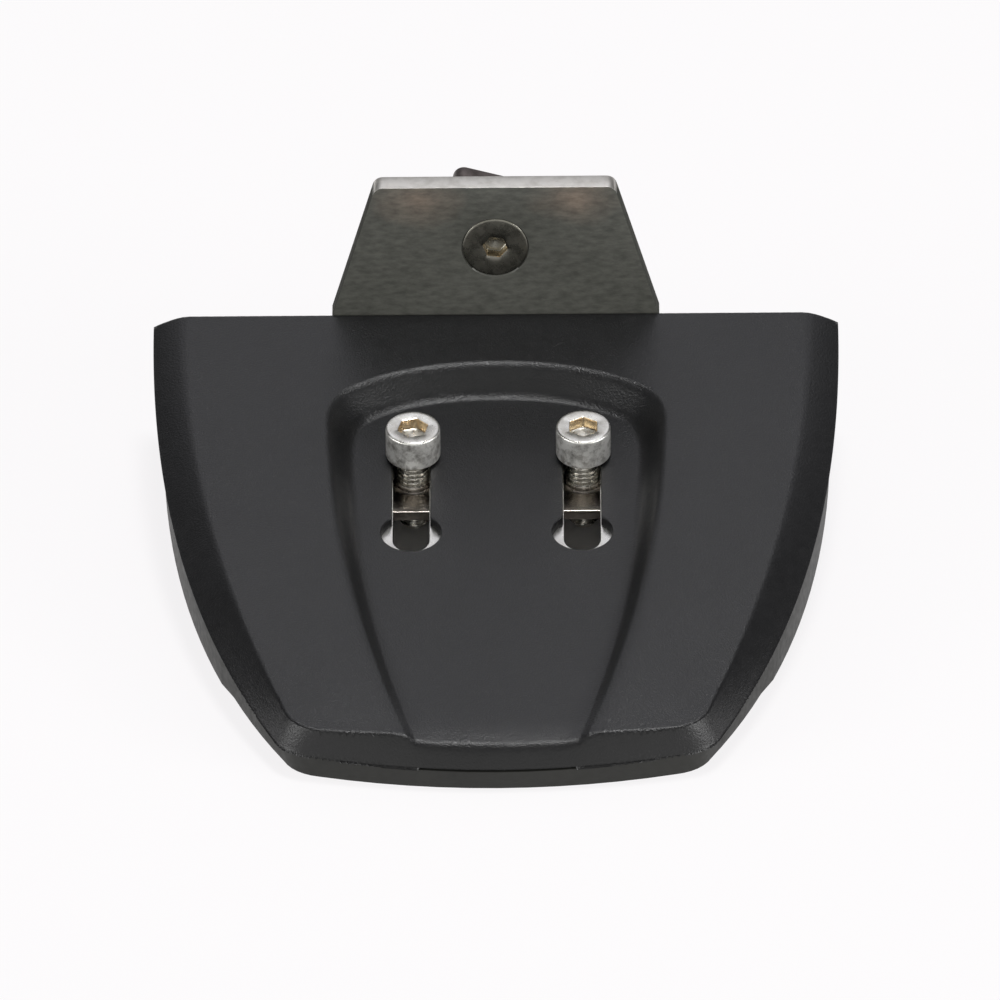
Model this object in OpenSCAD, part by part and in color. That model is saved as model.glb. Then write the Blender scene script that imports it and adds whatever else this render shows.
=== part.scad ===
// Roof rack adapter: a moulded cover on a rubber wedge pad, a folded steel bracket with a
// track bolt and nut, and a clamp plate hung on two cap screws that run in slots.
// All pieces are drawn square to the bracket's leg, with the origin on the recess floor midway
// between the two cap screws, and then tipped so that the pad's underside is level.
// X is across, Y points to the back, Z is up.

/* [Cover] */
// Slope of the pad's underside against the bracket's leg, degrees
wedge_angle = 6; // [4:0.5:8]
// Distance from the screw axes to the cover's back face
back_y = 36.4; // [35:0.1:38]
// Half the width of the flat face at the back
face_half_back = 58; // [56:0.1:60]
// Half the width of the flat face at the front corners
face_half_front = 38.1; // [36:0.1:39]
// Distance from the screw axes to the front edge of the face
face_front = 83; // [82:0.1:84]
// Height of the face above the recess floor at the back
face_rise_back = 5.25; // [4.5:0.05:6]
// Height of the face above the recess floor at the front
face_rise_front = 1.2; // [1:0.05:1.6]
// Half the width of the cover's lower edge at the back
skirt_half_back = 63.8; // [62:0.1:66]
// Half the width of the cover's lower edge at the front corners
skirt_half_front = 40.7; // [40:0.1:42]
// Distance from the screw axes to the front of the cover's lower edge
skirt_front = 86.9; // [86:0.1:88]
// Height of the lower edge over the recess floor at the back
skirt_z_back = 2.2; // [1.8:0.05:2.6]
// Depth of the lower edge under the recess floor at the front
skirt_drop_front = 5; // [4.5:0.1:5.5]
// Wall of the moulding
cover_wall = 2.2; // [1.8:0.1:2.4]
// Thickness of the recess floor
floor_wall = 2; // [1.6:0.1:2.4]

/* [Recess] */
// Distance from the screw axes to the recess's back edge
recess_back = 21.7; // [21:0.1:23]
// Half the width of the recess between its back corners
recess_half_back = 30.8; // [29.5:0.1:31.5]
// Half the width of the recess at its mouth
recess_half_front = 12.8; // [12:0.1:14]
// Width of the sloping wall at the back of the recess
recess_wall_back = 4.4; // [3.5:0.1:5]
// Width of the sloping wall at the sides of the recess
recess_wall_side = 3.6; // [3:0.1:4]
// Diameter of the round end of each keyhole
keyhole_d = 11; // [10.6:0.1:12]
// Width of the slot of each keyhole
keyhole_slot_w = 7; // [6.8:0.1:8]

/* [Base pad] */
// Height of the pad at its front edge
pad_front_h = 3.7; // [3:0.1:5]
// Distance that the pad's sides stand back from the cover's lower edge
pad_inset = 1.4; // [0.5:0.1:1.6]
// The same distance in front of the step in the pad's sides
pad_inset_front = 2.1; // [1.5:0.1:2.5]
// Distance that the pad's front edge stands back from the cover's lower edge
pad_front_inset = 0.3; // [0.2:0.1:0.8]
// Distance from the screw axes to the step where the pad's sides draw in
pad_step_y = 52; // [48:0.5:54]
// Space at each side of the leg in the pad's window
window_gap = 1.2; // [1:0.1:2.5]
// Thickness of the pad's back bar
pad_bar = 7; // [5:0.5:9]

/* [Bracket] */
// Thickness of the folded sheet
sheet = 4.2; // [4:0.1:4.8]
// Width of the leg and of the foot of the upright
leg_w = 61; // [60:0.1:62]
// Width of the upright at its top
upright_top_w = 44.4; // [43:0.1:46]
// Height of the upright's top above the cover's back edge
upright_rise = 27.15; // [25:0.1:28]
// Depth under the cover's back edge where the upright starts to narrow
taper_drop = 0.6; // [0.4:0.1:1]
// Radius of the upright's top corners
upright_corner = 2; // [1:0.1:4]
// Radius inside the bend
bend_r = 3; // [2:0.1:3]
// Distance from the screw axes to the leg's front end
leg_front = 35.4; // [33:0.1:36]
// Width of the slots in the leg
leg_slot_w = 6.8; // [6.7:0.05:6.9]

/* [Fasteners] */
// Thread diameter of the three screws
thread_d = 6; // [5.9:0.1:6.1]
// Distance between the two slots, and between the two cap screws
screw_pitch = 31.4; // [31:0.1:32]
// Length of the cap screws under the head
cap_len = 16; // [15:0.5:16]
// Diameter of the cap screws' heads
cap_head_d = 10; // [9.8:0.1:10.4]
// Height of the cap screws' heads
cap_head_h = 6; // [5:0.1:7]
// Hexagon socket of the cap screws, across flats
cap_hex = 5; // [4.9:0.1:5.1]
// Height of the heads' undersides above the recess floor
cap_lift = 0.5; // [0.2:0.1:1]
// Distance from the screws' rear place to the centre of the keyholes
slot_run = 22.8; // [21:0.1:23.5]
// Distance that the loose clamp plate and its screws sit to the right in their slots
clamp_shift = 0.35; // [0:0.05:0.35]
// Whole length of the countersunk track bolt
track_len = 16; // [14:0.5:20]
// Diameter of the track bolt's head
track_head_d = 12.1; // [11.8:0.1:12.6]
// Hexagon socket of the track bolt, across flats
track_hex = 4; // [3.9:0.1:4.1]
// Height of the track bolt above the cover's back edge
track_rise = 14.2; // [13:0.1:15]
// Radial clearance of a thread in its nut
thread_gap = 0.05; // [0.03:0.01:0.08]

/* [Clamp plate and nut plate] */
// Width of the clamp plate
plate_w = 52; // [48:0.1:56]
// Depth of the clamp plate
plate_d = 18; // [16:0.1:20]
// Thickness of the clamp plate
plate_t = 2; // [1.6:0.1:2.4]
// Length of the drawn thread collars under the plate
collar_h = 2.6; // [2:0.1:3]
// Outer diameter of the thread collars
collar_d = 9; // [8:0.1:10]
// Side of the square nut plate on the track bolt
nut_side = 20.6; // [19:0.1:22]
// Thickness of the nut plate
nut_t = 4.8; // [4:0.1:6]
// Corner radius of the nut plate
nut_corner = 2; // [1:0.1:3]
// Turn of the nut plate about its bolt, degrees
nut_turn = 15.7; // [0:0.1:40]

/* [Hidden] */
$fn = 48;
// Samples along each side, corner and front of an outline
side_steps = 22;
corner_steps = 6;
front_steps = 6;
// Ease of a loose fit, and how far a cutter runs past what it cuts
ease = 0.3;
past = 1;
far = 60;

face_slope = (face_rise_back - face_rise_front) / (back_y + face_front);
skirt_slope = (skirt_z_back + skirt_drop_front) / (back_y + skirt_front);
leg_top = -floor_wall;
leg_bottom = leg_top - sheet;
slot_x = screw_pitch / 2;
// Depth of the pad's underside under the screw axes
base_depth = skirt_drop_front + pad_front_h + skirt_front * tan(wedge_angle);
// The frame's origin is on the pad's underside, midway along its solid front part
window_front = leg_front + ease;
window_half = leg_w / 2 + window_gap;
origin_y = -(window_front + skirt_front - pad_front_inset) / 2;
// How far a tipped piece moves down and forward to stand on the pad
lift = base_depth * cos(wedge_angle);
shift = origin_y * cos(wedge_angle) - base_z(origin_y) * sin(wedge_angle);
// The cover's back edge in the tipped frame, where the back face is upright
edge_y = back_y * cos(wedge_angle) - face_rise_back * sin(wedge_angle) - shift;
edge_z = back_y * sin(wedge_angle) + face_rise_back * cos(wedge_angle) + lift;

// Height of the face, of the cover's lower edge and of the pad's underside at one place
function face_z(y) = face_rise_back - face_slope * (back_y - y);
function skirt_z(y) = skirt_z_back - skirt_slope * (back_y - y);
function base_z(y) = -base_depth - y * tan(wedge_angle);

function bezier(a, b, c, t) = a * (1 - t) * (1 - t) + b * 2 * t * (1 - t) + c * t * t;
function curve(a, b, c, steps) = [for (i = [0:steps - 1]) bezier(a, b, c, i / steps)];
function mirrored(half) = concat(
    half,
    [for (i = [len(half) - 1:-1:0]) if (half[i][0] > 0.001) [-half[i][0], half[i][1]]]
);

// One closed outline: a bowed side, a rounded corner and a bowed front, on both sides of X = 0.
// It runs from the back on the right, round the front, to the back on the left.
function outline(half_back, bow, half_front, corner_y, corner, front_y) = mirrored(concat(
    curve([half_back, back_y + 2], bow, [half_front, -corner_y], side_steps),
    curve(
        [half_front, -corner_y],
        [half_front - 0.35 * corner, -corner_y - 0.85 * corner],
        [half_front - 1.3 * corner, -corner_y - 1.05 * corner],
        corner_steps
    ),
    curve(
        [half_front - 1.3 * corner, -corner_y - 1.05 * corner],
        [half_front * 0.42, -front_y],
        [0, -front_y],
        front_steps
    ),
    [[0, -front_y]]
));
function face_outline(inset) = outline(
    face_half_back - inset,
    [face_half_back - 0.1 - inset, -20.2],
    face_half_front - inset,
    face_front - 6.5,
    4.6,
    face_front - inset
);
function skirt_outline(inset, front_inset) = outline(
    skirt_half_back - inset,
    [skirt_half_back + 0.1 - inset, -34],
    skirt_half_front - inset,
    skirt_front - 9.4 - front_inset,
    5,
    skirt_front - front_inset
);

function on_face(points, drop) = [for (p = points) [p[0], p[1], face_z(p[1]) - drop]];
function on_skirt(points, rise) = [for (p = points) [p[0], p[1], skirt_z(p[1]) + rise]];
function between(low, high, share, lift) = [
    for (i = [0:len(low) - 1]) low[i] * (1 - share) + high[i] * share + [0, 0, lift]
];

// A solid skinned over rings that have the same count of points, lowest ring first
module loft(rings) {
    n = len(rings[0]);
    last = len(rings) - 1;
    points = [for (ring = rings) for (p = ring) p];
    walls = [
        for (k = [0:last - 1], i = [0:n - 1])
            let (j = (i + 1) % n)
                each [
                    [k * n + i, k * n + j, (k + 1) * n + j],
                    [k * n + i, (k + 1) * n + j, (k + 1) * n + i]
                ]
    ];
    bottom = [for (i = [n - 1:-1:0]) i];
    top = [for (i = [0:n - 1]) last * n + i];
    polyhedron(points, concat([bottom, top], walls), convexity = 6);
}

// Recess outline: share 0 is its edge on the face and share 1 its foot on the floor
function recess_outline(share) =
    let (
        wb = recess_wall_back * share,
        ws = recess_wall_side * share,
        mouth = skirt_front + 6
    )
    mirrored(concat(
        [for (i = [0:9]) bezier(
            [0, recess_back - wb],
            [16, recess_back - wb],
            [recess_half_back - 4.5 - 0.6 * ws, recess_back - 6.8 - wb],
            i / 9
        )],
        [for (i = [1:6]) bezier(
            [recess_half_back - 4.5 - 0.6 * ws, recess_back - 6.8 - wb],
            [recess_half_back - 0.3 - ws, recess_back - 9.3 - wb],
            [recess_half_back - ws, recess_back - 16 - wb],
            i / 6
        )],
        [for (i = [1:side_steps]) bezier(
            [recess_half_back - ws, recess_back - 16 - wb],
            [recess_half_back - 0.8 - 0.9 * ws, -46],
            [recess_half_front - 0.25 * ws, -mouth],
            i / side_steps
        )]
    ));
function recess_ring(share, rise) = [
    for (p = recess_outline(share)) [p[0], p[1], rise * face_z(p[1])]
];

// The hollow of the recess, with its foot and its edge rounded off
module recess_cut() {
    mouth = [for (p = recess_outline(-0.25)) [p[0], p[1], face_z(p[1]) + 6]];
    loft([
        recess_ring(1, 0),
        recess_ring(0.78, 0.08),
        recess_ring(0.55, 0.3),
        recess_ring(0.25, 0.75),
        recess_ring(0.05, 0.95),
        recess_ring(-0.25, 1.02),
        mouth
    ]);
    // The floor rolls off at the front edge
    intersection() {
        translate([0, 0, -far / 2])
            linear_extrude(far)
                polygon(recess_outline(1));
        translate([-far / 2, 0, 0])
            rotate([90, 0, 90])
                linear_extrude(far)
                    polygon([
                        [-face_front + 5, 0],
                        [-face_front, -0.4],
                        [-face_front - 8, -2],
                        [-face_front - 8, 2],
                        [-face_front + 5, 2]
                    ]);
    }
}

module keyhole_cut(x) {
    translate([x, -slot_run, -floor_wall - past])
        cylinder(d = keyhole_d, h = floor_wall + 2 * past);
    slot_cut(x, keyhole_slot_w, -floor_wall - past, floor_wall + 2 * past);
}

// A straight slot along Y from the screw's rear place to the centre of the keyhole
module slot_cut(x, w, z, h) {
    translate([x - w / 2, -slot_run, z])
        cube([w, slot_run, h]);
    translate([x, 0, z])
        cylinder(d = w, h = h);
    translate([x, -slot_run, z])
        cylinder(d = w, h = h);
}

module cover_outside() {
    low = on_skirt(skirt_outline(0, 0), 0);
    high = on_face(face_outline(0), 0.3);
    loft([
        low,
        between(low, high, 0.3, 0.45),
        between(low, high, 0.65, 0.5),
        high,
        on_face(face_outline(0.9), 0)
    ]);
    // At the back the recess floor lies under the cover's lower edge
    translate([0, 0, -floor_wall])
        linear_extrude(floor_wall + 2.4)
            intersection() {
                polygon(recess_outline(-0.6));
                translate([ease - window_half, -38])
                    square([2 * (window_half - ease), far]);
            }
}

module cover_inside() {
    wall_back = back_y - cover_wall;
    difference() {
        intersection() {
            loft([
                on_skirt(skirt_outline(cover_wall, cover_wall), -past),
                on_skirt(skirt_outline(cover_wall + 0.4, cover_wall + 0.4), 0.2),
                on_face(face_outline(cover_wall + 1.2), cover_wall + 0.4)
            ]);
            translate([-far * 2, wall_back - 4 * far, -far])
                cube([4 * far, 4 * far, 2 * far]);
        }
        // The recess keeps its floor and walls
        translate([0, 0, -floor_wall])
            linear_extrude(far)
                polygon(recess_outline(-0.6));
    }
}

// Everything behind the cover's back edge
module behind() {
    translate([-2 * far, edge_y, -far])
        cube([4 * far, far, 4 * far]);
}

module cover() {
    color([0.2, 0.21, 0.22])
        difference() {
            seated()
                difference() {
                    cover_outside();
                    cover_inside();
                    recess_cut();
                    keyhole_cut(slot_x);
                    keyhole_cut(-slot_x);
                }
            behind();
        }
}

// The pad follows the cover's lower edge, and draws in further in front of the step
function pad_outline() =
    let (
        sides = skirt_outline(pad_inset, pad_front_inset),
        front = skirt_outline(pad_inset_front, pad_front_inset)
    )
    mirrored(concat(
        [for (p = sides) if (p[0] >= 0 && p[1] > -pad_step_y) p],
        [for (p = front) if (p[0] >= 0 && p[1] < -pad_step_y - 3.5) p]
    ));

// A half space above or below a plane that slopes along Y
module slab(z_at_axis, angle, up) {
    translate([0, 0, z_at_axis])
        rotate([angle, 0, 0])
            translate([-2 * far, -3 * far, up ? 0 : -2 * far])
                cube([4 * far, 6 * far, 2 * far]);
}

module base_pad() {
    back_in = back_y - pad_bar;
    color([0.24, 0.24, 0.22])
        difference() {
            seated()
                difference() {
                    translate([0, 0, -far / 2])
                        linear_extrude(far)
                            polygon(pad_outline());
                    slab(base_z(0), -wedge_angle, false);
                    slab(skirt_z(0), atan(skirt_slope), true);
                    // Window for the clamp plate, open to the leg above
                    translate([-window_half, -window_front, -far / 2])
                        cube([2 * window_half, window_front + back_in, far]);
                    // The leg passes over the back bar
                    translate([-window_half, -past, leg_bottom - ease])
                        cube([2 * window_half, back_y + 3 * past, far]);
                    // Room for the moulded recess in front of the leg
                    translate([-recess_half_back, -skirt_front + 6, leg_top - ease])
                        cube([2 * recess_half_back, skirt_front, far]);
                }
            behind();
        }
}

// Side view of the fold: leg, bend and upright. The upright leans back from the leg's
// normal by the wedge angle, so that it stands plumb when the leg is tipped.
module fold_profile() {
    bend_z = leg_top + bend_r;
    bend_y = back_y + ((bend_z - face_rise_back) * sin(wedge_angle) - bend_r) / cos(wedge_angle);
    length = edge_z - lift - bend_y * sin(wedge_angle) - bend_z * cos(wedge_angle) + upright_rise;
    difference() {
        union() {
            translate([-leg_front, leg_bottom])
                square([leg_front + bend_y, sheet + bend_r]);
            translate([bend_y, bend_z]) {
                circle(r = bend_r + sheet);
                rotate(-wedge_angle)
                    square([bend_r + sheet, length]);
            }
        }
        translate([-far, leg_top])
            square([far + bend_y, far]);
        translate([bend_y, bend_z]) {
            circle(r = bend_r);
            rotate(-wedge_angle)
                translate([bend_r - far, 0])
                    square([far, far]);
        }
    }
}

// Front view of the tipped bracket, tapering over the cover and rounded at the top corners
module upright_outline() {
    top = edge_z + upright_rise;
    foot = edge_z - taper_drop;
    lean = atan((leg_w - upright_top_w) / 2 / (top - foot));
    inset = upright_corner * tan((90 - lean) / 2);
    difference() {
        polygon([
            [-leg_w / 2, -far],
            [leg_w / 2, -far],
            [leg_w / 2, foot],
            [upright_top_w / 2, top],
            [-upright_top_w / 2, top],
            [-leg_w / 2, foot]
        ]);
        for (side = [-1, 1])
            difference() {
                translate([side * upright_top_w / 2, top])
                    square(2 * inset, center = true);
                translate([side * (upright_top_w / 2 - inset), top - upright_corner])
                    circle(r = upright_corner);
                translate([side * (upright_top_w / 2 - inset - far / 2), top - far / 2])
                    square([far, far], center = true);
            }
    }
}

module mounting_bracket() {
    head_r = track_head_d / 2 + 0.25;
    color([0.36, 0.36, 0.33])
        difference() {
            intersection() {
                seated()
                    translate([-leg_w / 2, 0, 0])
                        rotate([90, 0, 90])
                            linear_extrude(leg_w)
                                fold_profile();
                translate([0, 3 * far, 0])
                    rotate([90, 0, 0])
                        linear_extrude(5 * far)
                            upright_outline();
            }
            seated()
                for (x = [-slot_x, slot_x])
                    slot_cut(x, leg_slot_w, leg_bottom - past, sheet + 2 * past);
            translate([0, edge_y - past, edge_z + track_rise])
                rotate([-90, 0, 0])
                    cylinder(r = thread_d / 2 + ease, h = sheet + 2 * past);
            translate([0, edge_y, edge_z + track_rise])
                rotate([-90, 0, 0])
                    cylinder(r1 = head_r, r2 = 0, h = head_r);
        }
}

// A socket cap screw that points down, with the underside of its head at Z = 0
module cap_screw(turn) {
    r = thread_d / 2;
    head_r = cap_head_d / 2;
    socket = cap_head_h / 2;
    difference() {
        rotate_extrude()
            polygon([
                [0, -cap_len],
                [r - 0.7, -cap_len],
                [r, -cap_len + 0.7],
                [r, 0],
                [head_r - 0.2, 0],
                [head_r, 0.2],
                [head_r, cap_head_h - 0.6],
                [head_r - 0.6, cap_head_h],
                [0, cap_head_h]
            ]);
        rotate([0, 0, turn])
            translate([0, 0, cap_head_h - socket])
                cylinder(d = cap_hex / cos(30), h = socket + past, $fn = 6);
    }
}

module left_clamp_screw() {
    color([0.75, 0.75, 0.74])
        seated()
            translate([clamp_shift - slot_x, 0, cap_lift])
                cap_screw(15);
}

module right_clamp_screw() {
    color([0.75, 0.75, 0.74])
        seated()
            translate([clamp_shift + slot_x, 0, cap_lift])
                cap_screw(30);
}

// The countersunk bolt, its head's face just inside the upright's front face
module track_bolt() {
    r = thread_d / 2;
    head_r = track_head_d / 2;
    socket = 2;
    sink = 0.1;
    color([0.7, 0.69, 0.66])
        translate([0, edge_y + sink, edge_z + track_rise])
            rotate([-90, 0, 0])
                difference() {
                    rotate_extrude()
                        polygon([
                            [0, 0],
                            [head_r, 0],
                            [r, head_r - r],
                            [r, track_len - 0.7],
                            [r - 0.7, track_len],
                            [0, track_len]
                        ]);
                    rotate([0, 0, 20])
                        translate([0, 0, -past])
                            cylinder(d = track_hex / cos(30), h = socket + past, $fn = 6);
                }
}

module rounded_rectangle(w, d, r) {
    square([w - 2 * r, d], center = true);
    square([w, d - 2 * r], center = true);
    for (x = [-1, 1], y = [-1, 1])
        translate([x * (w / 2 - r), y * (d / 2 - r)])
            circle(r = r);
}

module track_nut() {
    color([0.36, 0.31, 0.3])
        translate([0, edge_y + sheet + nut_t, edge_z + track_rise])
            rotate([90, 0, 0])
                rotate([0, 0, -nut_turn])
                    linear_extrude(nut_t)
                        difference() {
                            rounded_rectangle(nut_side, nut_side, nut_corner);
                            circle(r = thread_d / 2 + thread_gap);
                        }
}

module clamp_plate() {
    bore_r = thread_d / 2 + thread_gap;
    color([0.62, 0.62, 0.6])
        seated()
            translate([clamp_shift, 0, leg_bottom - plate_t])
                difference() {
                    union() {
                        linear_extrude(plate_t)
                            rounded_rectangle(plate_w, plate_d, 2);
                        for (x = [-slot_x, slot_x])
                            translate([x, 0, -collar_h])
                                cylinder(d = collar_d, h = collar_h);
                    }
                    for (x = [-slot_x, slot_x])
                        translate([x, 0, -collar_h - past])
                            cylinder(r = bore_r, h = plate_t + collar_h + 2 * past);
                }
}

// Tips a piece from the bracket's own frame to the way the adapter stands on its pad
module seated() {
    translate([0, -shift, lift])
        rotate([wedge_angle, 0, 0])
            children();
}

cover();
base_pad();
mounting_bracket();
track_bolt();
track_nut();
clamp_plate();
left_clamp_screw();
right_clamp_screw();
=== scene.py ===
"""Looks for the roof rack adapter: a grained black cover, a rubber wedge pad, a folded steel
bracket, a countersunk track bolt with its nut plate, and a clamp plate on two cap screws.

Shapes are worked out in millimetres in the bracket leg's own frame (X across, Y to the back,
Z square to the leg, origin on the recess floor midway between the cap screws), and tip() turns
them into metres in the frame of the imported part."""

import math

import bmesh
import bpy
import numpy as np
from mathutils import Matrix, Vector
from mathutils.geometry import delaunay_2d_cdt


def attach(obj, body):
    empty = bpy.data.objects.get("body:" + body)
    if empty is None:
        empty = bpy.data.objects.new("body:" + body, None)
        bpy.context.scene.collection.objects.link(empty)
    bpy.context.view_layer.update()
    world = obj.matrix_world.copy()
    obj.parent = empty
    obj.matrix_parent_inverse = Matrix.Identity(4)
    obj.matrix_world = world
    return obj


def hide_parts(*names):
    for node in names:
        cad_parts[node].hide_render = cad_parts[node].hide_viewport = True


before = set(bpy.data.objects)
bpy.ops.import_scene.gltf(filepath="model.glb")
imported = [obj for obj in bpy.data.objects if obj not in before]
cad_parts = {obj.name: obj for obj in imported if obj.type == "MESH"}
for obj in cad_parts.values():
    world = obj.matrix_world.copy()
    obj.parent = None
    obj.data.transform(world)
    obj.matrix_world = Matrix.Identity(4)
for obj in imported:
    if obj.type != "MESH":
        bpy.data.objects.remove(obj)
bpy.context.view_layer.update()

MM = 0.001

# Sizes that repeat the CAD part's, in millimetres and degrees
WEDGE = math.radians(6)
BACK_Y = 36.4
FACE_BACK, FACE_FRONT = 5.25, 1.2
FACE_END = 83.0
SKIRT_BACK, SKIRT_DROP = 2.2, 5.0
SKIRT_END = 86.9
PAD_FRONT_H = 3.7
SHEET = 4.2
FLOOR_WALL = 2.0
SLOT_X = 15.7
SLOT_RUN = 22.8
KEYHOLE_R = 5.5
COVER_SLOT_R = 3.5
CLAMP_SHIFT = 0.35
CAP_LIFT = 0.5
TRACK_RISE = 14.2
LEG_FRONT = 35.4
EASE = 0.3
PAD_FRONT_INSET = 0.3

BASE_DEPTH = SKIRT_DROP + PAD_FRONT_H + SKIRT_END * math.tan(WEDGE)
ORIGIN_Y = -(LEG_FRONT + EASE + SKIRT_END - PAD_FRONT_INSET) / 2
ORIGIN_Z = -BASE_DEPTH - ORIGIN_Y * math.tan(WEDGE)
SHIFT = ORIGIN_Y * math.cos(WEDGE) - ORIGIN_Z * math.sin(WEDGE)
LIFT = BASE_DEPTH * math.cos(WEDGE)
EDGE_Y = BACK_Y * math.cos(WEDGE) - FACE_BACK * math.sin(WEDGE) - SHIFT
EDGE_Z = BACK_Y * math.sin(WEDGE) + FACE_BACK * math.cos(WEDGE) + LIFT


def tip(points):
    """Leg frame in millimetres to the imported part's frame in metres."""
    p = np.asarray(points, float)
    x, y, z = p[..., 0], p[..., 1], p[..., 2]
    c, s = math.cos(WEDGE), math.sin(WEDGE)
    return np.stack([x, y * c - z * s - SHIFT, y * s + z * c + LIFT], -1) * MM


def turn(direction):
    """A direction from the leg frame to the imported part's frame."""
    x, y, z = direction
    c, s = math.cos(WEDGE), math.sin(WEDGE)
    return Vector((x, y * c - z * s, y * s + z * c))


# Outlines of the cover, as in the CAD part


def bezier(a, b, c, n, end=False):
    t = np.linspace(0, 1, n + 1)[: None if end else n, None]
    a, b, c = (np.array(p, float) for p in (a, b, c))
    return a * (1 - t) ** 2 + b * 2 * t * (1 - t) + c * t * t


def mirrored(half):
    other = half[half[:, 0] > 0.001][::-1] * np.array([-1, 1])
    return np.vstack([half, other])


def outline(half_back, bow, half_front, corner_y, corner, front_y):
    """A bowed side, a rounded corner and a bowed front, from the right back round to the left."""
    first = (half_front, -corner_y)
    mid = (half_front - 0.35 * corner, -corner_y - 0.85 * corner)
    last = (half_front - 1.3 * corner, -corner_y - 1.05 * corner)
    return mirrored(
        np.vstack(
            [
                bezier((half_back, BACK_Y), bow, first, 90),
                bezier(first, mid, last, 16),
                bezier(last, (half_front * 0.42, -front_y), (0, -front_y), 28, end=True),
            ]
        )
    )


# Half widths at the back, at the bow of the side and at the front corner
SKIRT_HALVES = (63.8, 63.9, 40.7)
FACE_HALVES = (58.0, 57.9, 38.1)


def skirt_outline():
    back, bow, front = SKIRT_HALVES
    return outline(back, (bow, -34), front, 77.5, 5.0, SKIRT_END)


def face_outline(inset=0.0):
    back, bow, front = (half - inset for half in FACE_HALVES)
    return outline(back, (bow, -20.2), front, 76.5, 4.6, FACE_END - inset)


RECESS_BACK = 21.7
RECESS_HALF = 30.8
RECESS_HALF_FRONT = 12.8
RECESS_WALL_BACK, RECESS_WALL_SIDE = 4.4, 3.6
# The recess's sides are carried on past the cover's front
MOUTH = 92.9


def recess_outline(share):
    """Share 0 is the recess's edge on the face, and share 1 its foot on the floor."""
    wb, ws = RECESS_WALL_BACK * share, RECESS_WALL_SIDE * share
    corner = (RECESS_HALF - 4.5 - 0.6 * ws, RECESS_BACK - 6.8 - wb)
    side = (RECESS_HALF - ws, RECESS_BACK - 16 - wb)
    return mirrored(
        np.vstack(
            [
                bezier((0, RECESS_BACK - wb), (16, RECESS_BACK - wb), corner, 34),
                bezier(corner, (RECESS_HALF - 0.3 - ws, RECESS_BACK - 9.3 - wb), side, 16),
                bezier(
                    side,
                    (RECESS_HALF - 0.8 - 0.9 * ws, -46),
                    (RECESS_HALF_FRONT - 0.25 * ws, -MOUTH),
                    110,
                    end=True,
                ),
            ]
        )
    )


def signed_distance(points, poly):
    """Distance to a closed outline, positive inside it."""
    a = poly
    b = np.roll(poly, -1, 0)
    out = np.empty(len(points))
    for start in range(0, len(points), 2000):
        p = points[start : start + 2000]
        ab = b - a
        ap = p[:, None, :] - a[None]
        length = np.maximum((ab**2).sum(-1), 1e-12)
        t = np.clip((ap * ab).sum(-1) / length, 0, 1)
        d = np.sqrt(((ap - t[..., None] * ab) ** 2).sum(-1)).min(1)
        y0, y1 = a[:, 1], b[:, 1]
        crosses = (y0[None] > p[:, 1:2]) != (y1[None] > p[:, 1:2])
        dy = np.where(np.abs(y1 - y0) < 1e-12, 1e-12, y1 - y0)
        x_at = a[:, 0] + (p[:, 1:2] - y0) * (b[:, 0] - a[:, 0]) / dy
        inside = (crosses & (p[:, :1] < x_at)).sum(1) % 2 == 1
        out[start : start + 2000] = np.where(inside, d, -d)
    return out


def soft_min(a, b, k):
    h = np.clip(0.5 + 0.5 * (b - a) / k, 0, 1)
    return b * (1 - h) + a * h - k * h * (1 - h)


def face_z(y):
    return FACE_BACK - (FACE_BACK - FACE_FRONT) / (BACK_Y + FACE_END) * (BACK_Y - y)


def skirt_z(y):
    return SKIRT_BACK - (SKIRT_BACK + SKIRT_DROP) / (BACK_Y + SKIRT_END) * (BACK_Y - y)


def extended(poly):
    """The same outline, carried on behind the cover so that the back edge is no border."""
    right, left = poly[0].copy(), poly[-1].copy()
    right[1] = left[1] = BACK_Y + 40
    return np.vstack([[right], poly, [left]])


# What the moulded skin adds to the CAD part's, in millimetres
RIM_RISE = 0.8
CHAMFER_BULGE = 0.22
FACE_SAG = 0.4
FLOOR_DROP = 0.02
MOUTH_DROP = 0.45
FACE_ROUND = 0.3
FOOT_ROUND = 1.25
RECESS_ROUND = 1.1
# Past their own edges the chamfer and the recess's wall go on at one share over these widths
CHAMFER_RUN = 5.4
WALL_RUN = 4.0


def cover_height(xy):
    """Height of the cover's outer skin over the leg frame."""
    y = xy[:, 1]
    d_skirt = signed_distance(xy, extended(skirt_outline()))
    d_face = signed_distance(xy, extended(face_outline()))
    share = np.where(
        d_face < 0, d_skirt / np.maximum(d_skirt - d_face, 1e-6), 1 + d_face / CHAMFER_RUN
    )
    share = np.maximum(share, 0)
    low, high = skirt_z(y), face_z(y)
    near_edge = np.clip(1 - np.maximum(d_face, 0) / 26, 0, 1)
    high = high - FACE_SAG * near_edge**2 * np.clip((-y - 30) / 50, 0, 1)
    bulge = CHAMFER_BULGE * np.clip(4 * share * (1 - share), 0, 1)
    side = low + RIM_RISE + (high - low - RIM_RISE) * share + bulge
    body = soft_min(high, side, FACE_ROUND)
    d_outer = signed_distance(xy, recess_outline(0))
    d_inner = signed_distance(xy, recess_outline(1))
    on_wall = d_outer / np.maximum(d_outer - d_inner, 1e-6)
    outside = np.where(d_outer > 0, on_wall, d_outer / WALL_RUN)
    across = np.where(d_inner < 0, outside, 1 + d_inner / WALL_RUN)
    roll = np.clip((-77 - y) / 6, 0, None)
    floor = -FLOOR_DROP - MOUTH_DROP * roll**2
    depth = high - floor
    wall = high - depth * across
    hollow = -soft_min(-floor, -wall, FOOT_ROUND)
    return soft_min(body, np.where(across < -0.6, body + 9, hollow), RECESS_ROUND)


# Mesh helpers


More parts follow.
